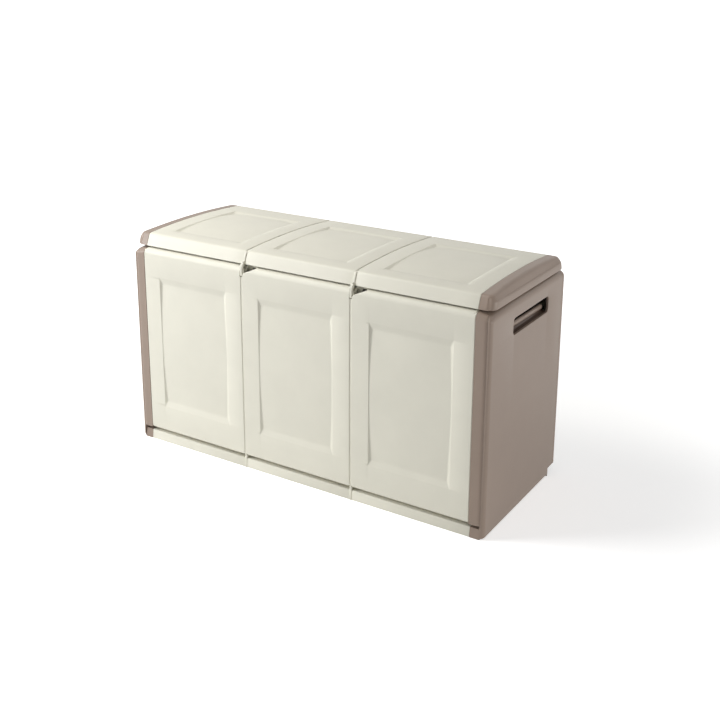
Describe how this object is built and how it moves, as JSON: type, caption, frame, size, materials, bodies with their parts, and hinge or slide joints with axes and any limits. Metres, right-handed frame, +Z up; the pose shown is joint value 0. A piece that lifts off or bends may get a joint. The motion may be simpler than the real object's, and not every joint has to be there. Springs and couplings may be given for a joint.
{
  "type": "garden storage chest",
  "caption": "Garden storage chest of hollow moulded resin panels between taupe end pieces, with a hinged crowned lid, hand slots in the ends and padlock tabs.",
  "frame": {"origin": "middle of the footprint, on the ground", "axes": "+X along the length, -Y out of the front, +Z up"},
  "size_m": [1.24, 0.51, 0.7],
  "materials": {
    "cream": "satin moulded resin",
    "taupe": "satin moulded resin",
    "grip": "satin moulded resin",
    "pin": "drawn rod"
  },
  "bodies": {
    "body": {"left_end_panel": "taupe", "right_end_panel": "taupe", "left_grip_cup": "grip", "right_grip_cup": "grip", "front_panel_left": "cream", "front_panel_centre": "cream", "front_panel_right": "cream", "back_panel_left": "cream", "back_panel_centre": "cream", "back_panel_right": "cream", "floor_panel_left": "cream", "floor_panel_centre": "cream", "floor_panel_right": "cream", "front_joiner_left": "cream", "front_joiner_right": "cream", "back_joiner_left": "cream", "back_joiner_right": "cream", "floor_joiner_left": "cream", "floor_joiner_right": "cream", "hinge_pins": "pin"},
    "lid": {"lid_panel_left": "cream", "lid_panel_centre": "cream", "lid_panel_right": "cream", "lid_end_left": "taupe", "lid_end_right": "taupe", "lid_joiner_left": "cream", "lid_joiner_right": "cream"}
  },
  "joints": [
    {"name": "lid_hinge", "type": "hinge", "parent": "body", "child": "lid", "pos_m": [0, 0.246, 0.655], "axis": [-1, 0, 0], "range_deg": [0, 100]}
  ]
}
